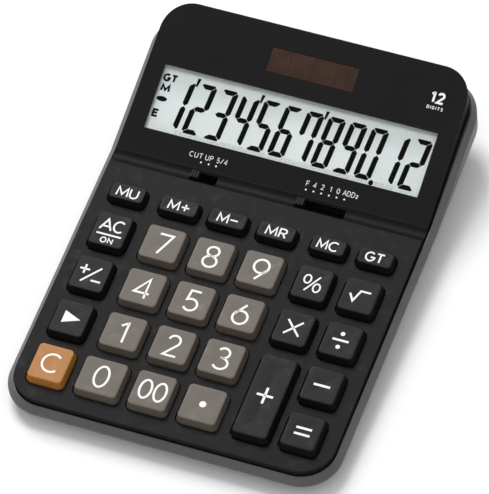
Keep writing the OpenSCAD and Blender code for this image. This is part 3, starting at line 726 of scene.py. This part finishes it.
def segmentOutline(which, xLeft, xRight):
    # outline of one bar, anticlockwise: bars end in slants that meet the next bar across a gap,
    # and the outer corners of the digit are cut off
    d = display
    top, bottom, half, rail, gap, cut = d["top"], d["bottom"], d["bar"] / 2, d["rail"], d["gap"], d["cut"]
    middle = (top + bottom) / 2
    if which in "ad":
        y, way = (top, -1) if which == "a" else (bottom, 1)
        nip = cut / 2
        pts = [(xLeft - half + cut, y), (xLeft - half + nip + gap, y + way * nip),
               (xLeft + half + gap, y + way * rail), (xRight - half - gap, y + way * rail),
               (xRight + half - nip - gap, y + way * nip), (xRight + half - cut, y)]
        return pts if which == "a" else pts[::-1]
    if which == "g":
        return [(xLeft + gap, middle), (xLeft + half + gap, middle - rail / 2),
                (xRight - half - gap, middle - rail / 2), (xRight - gap, middle),
                (xRight - half - gap, middle + rail / 2), (xLeft + half + gap, middle + rail / 2)]
    side = 1 if which in "bc" else -1
    x = xRight if side > 0 else xLeft
    end, sign = (top, 1) if which in "bf" else (bottom, -1)
    pts = [(x + side * half, end - sign * (cut + gap)),
           (x + side * (half - cut / 2), end - sign * (cut / 2 + 1.6 * gap)),
           (x - side * half, end - sign * (rail + 1.4 * gap)),
           (x - side * half, middle + sign * (rail / 2 + gap)), (x, middle + sign * gap),
           (x + side * half, middle + sign * (rail / 2 + gap))]
    return pts if side * sign > 0 else pts[::-1]


def slanted(points):
    # leans the digits: x moves in proportion to the distance from one height
    points = np.asarray(points, float)
    d = display
    shift = d["lean"] * (points[:, 1] - d["leanFrom"]) / (d["top"] - d["bottom"])
    return np.stack([points[:, 0] + shift, points[:, 1] + frontMm], -1)


def displayContents():
    # segments lie on the glass, so their plane is the display plane moved down to the glass
    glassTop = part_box("lcd_glass")[1]
    d = display
    glassPoints = vertices("lcd_glass")
    highest = glassPoints[glassPoints[:, 2] > glassPoints[:, 2].max() - 1e-6]
    glass = Plane(displayPlane.slope, highest[0, 1], glassTop.z)
    rise = 0.05
    parts = []
    for i, digit in enumerate(d["text"]):
        xRight = d["first"] + d["pitch"] * i
        for which in segments[digit]:
            outline = segmentOutline(which, xRight - d["span"], xRight)
            parts.append(prism(slanted(outline) * mm, glass, rise * mm))
    for i in (0, 3, 6):                                    # thousands marks
        x = d["first"] + d["pitch"] * i + 2.05
        tick = [(x - 0.65, 145.0), (x + 0.05, 145.0), (x + 0.75, 148.1), (x - 0.55, 148.1)]
        parts.append(prism((np.array(tick) + (0, frontMm)) * mm, glass, rise * mm))
    paths = [disc(35.3, 126.9 + frontMm, 0.95)]
    paths += word("GT", -53.6, 144.1 + frontMm, 3.1, 0.8, 0.1, {"G": 0.95, "T": 0.85})
    paths += word("M", -53.3, 140.2 + frontMm, 3.0, 0.8, 0.4, {"M": 1.25})
    paths += word("E", -53.4, 130.5 + frontMm, 3.1, 0.8, 0.4, {"E": 0.85})
    parts += legendParts(paths, glass, rise)
    lens = arc(-51.5, 137.6 + frontMm, 2.1, 0.95, 0, 360, 25)[:-1]
    parts.append(prism(lens * mm, glass, rise * mm))
    return gather("display_segments", parts, displayInk, "case")


displayContents()
print("display filled")


# shells: softened edges

softEdges = {"top_cover": 0.45, "bottom_case": 0.5, "rounding_knob": 0.15, "decimal_knob": 0.15,
             "battery_door": 0.15, "foot_fl": 0.2, "foot_fr": 0.2, "foot_rl": 0.2, "foot_rr": 0.2}


def soften(name, radius):
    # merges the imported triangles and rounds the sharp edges
    weld = nodes[name].modifiers.new("merge", "WELD")
    weld.merge_threshold = 0.002 * mm
    bevel = nodes[name].modifiers.new("edges", "BEVEL")
    bevel.width = radius * mm
    bevel.segments = 3
    bevel.limit_method = "ANGLE"
    bevel.angle_limit = math.radians(38)
    bevel.use_clamp_overlap = True
    weighted = nodes[name].modifiers.new("normals", "WEIGHTED_NORMAL")
    weighted.weight = 100
    weighted.keep_sharp = False


for name, radius in softEdges.items():
    soften(name, radius)
print("edges softened")


# studio

studio = dict(
    azimuth=26.4, elevation=53.77, roll=7.07,
    place=(0.5079, -1.02335, 1.5735),
    lens=383.5, sensor=36.0,
    world=0.60,
    keyPlace=(-0.80, 0.95, 1.65), keySize=(0.95, 0.95), keyWatts=31.6,
    fillPlace=(0.2, -1.4, 1.6), fillSize=(1.6, 1.0), fillWatts=2.4,
)


def makeCamera():
    # r, u and d are right, up and forward of a level camera; the roll turns r and u about d
    a, e, roll = (math.radians(studio[k]) for k in ("azimuth", "elevation", "roll"))
    d = Vector((-math.sin(a) * math.cos(e), math.cos(a) * math.cos(e), -math.sin(e)))
    r = d.cross(Vector((0, 0, 1))).normalized()
    u = r.cross(d)
    right = math.cos(roll) * r - math.sin(roll) * u
    up = math.sin(roll) * r + math.cos(roll) * u
    data = bpy.data.cameras.new("camera")
    data.sensor_width = studio["sensor"]
    data.lens = studio["lens"]
    data.clip_start, data.clip_end = 0.1, 10
    camera = bpy.data.objects.new("camera", data)
    turn = Matrix((right, up, -d)).transposed().to_4x4()
    camera.matrix_world = Matrix.Translation(studio["place"]) @ turn
    bpy.context.scene.collection.objects.link(camera)
    bpy.context.scene.camera = camera


def softLight(name, place, size, watts):
    # a rectangle of light that faces the object
    data = bpy.data.lights.new(name, "AREA")
    data.shape = "RECTANGLE"
    data.size, data.size_y = size
    data.energy = watts
    lamp = bpy.data.objects.new(name, data)
    lamp.location = place
    lamp.rotation_mode = "QUATERNION"
    lamp.rotation_quaternion = (-Vector(place)).to_track_quat("-Z", "Y")
    bpy.context.scene.collection.objects.link(lamp)


def makeFloor():
    # a wide disc with a faint, large-scale unevenness in tone
    angle = np.linspace(0, 2 * math.pi, 97)[:-1]
    radius = np.array([3.0, 1.0, 0.3, 0.02])[:, None]
    x, y = radius * np.cos(angle), radius * np.sin(angle)
    points = np.stack([x, y, 0 * x - 0.02 * mm], -1)
    mesh = bpy.data.meshes.new("floor")
    faces = skin(*x.shape)
    faces.pop(-2)                                    # no cap over the whole disc
    mesh.from_pydata(points.reshape(-1, 3).tolist(), [], faces)
    material, shader, wire = newMaterial("floor_pale")
    place = wire.node("ShaderNodeTexCoord", out=3)
    patch = noise(wire, place, 300 * mm, 2.0)
    feed(wire, shader, Base_Color=patch.blend((0.90, 0.90, 0.90), (0.93, 0.93, 0.93)))
    settle(shader, Roughness=0.9, Specular_IOR_Level=0.1)
    mesh.materials.append(material)
    floor = bpy.data.objects.new("floor", mesh)
    bpy.context.scene.collection.objects.link(floor)


def makeWorld():
    world = bpy.data.worlds.new("studio")
    bpy.context.scene.world = world
    world.use_nodes = True
    background = world.node_tree.nodes["Background"]
    background.inputs[0].default_value = (1, 1, 1, 1)
    background.inputs[1].default_value = studio["world"]


makeCamera()
makeFloor()
makeWorld()
softLight("key_light", studio["keyPlace"], studio["keySize"], studio["keyWatts"])
softLight("fill_light", studio["fillPlace"], studio["fillSize"], studio["fillWatts"])
bpy.context.scene.view_settings.view_transform = "Standard"
print("studio ready")
